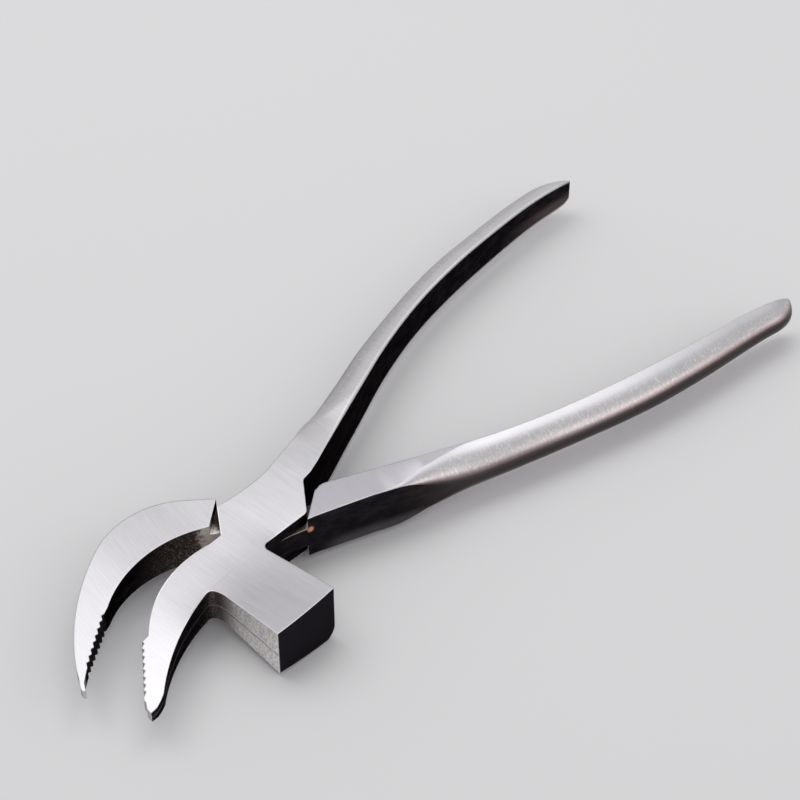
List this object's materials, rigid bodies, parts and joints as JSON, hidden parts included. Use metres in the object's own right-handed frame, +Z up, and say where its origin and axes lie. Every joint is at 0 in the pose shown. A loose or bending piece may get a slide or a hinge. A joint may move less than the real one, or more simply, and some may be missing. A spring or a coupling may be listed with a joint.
{
  "type": "lasting pincers with side hammer",
  "caption": "Shoemaker's lasting pincers: curved toothed jaws, a side hammer, a box joint and two bowed handles, satin ground steel.",
  "frame": {"origin": "middle of the tool's bounding box in plan, at the level it lies on", "axes": "+X from the jaws to the handle ends, +Y towards the hammer half's handle, +Z up along the rivet"},
  "size_m": [0.2301, 0.0928, 0.0167],
  "materials": {
    "satin_steel": "satin ground, forged grey on the unground side walls",
    "rivet_steel": "ground flush with the faces"
  },
  "bodies": {
    "hammer_half": {"hammer_half": "satin_steel", "pivot_rivet": "rivet_steel"},
    "plain_half": {"plain_half": "satin_steel"}
  },
  "joints": [
    {"name": "box_joint", "type": "hinge", "parent": "hammer_half", "child": "plain_half", "pos_m": [-0.04907, -0.00012, 0.00818], "axis": [0, 0, 1], "range_deg": [-12, 15.5]}
  ]
}
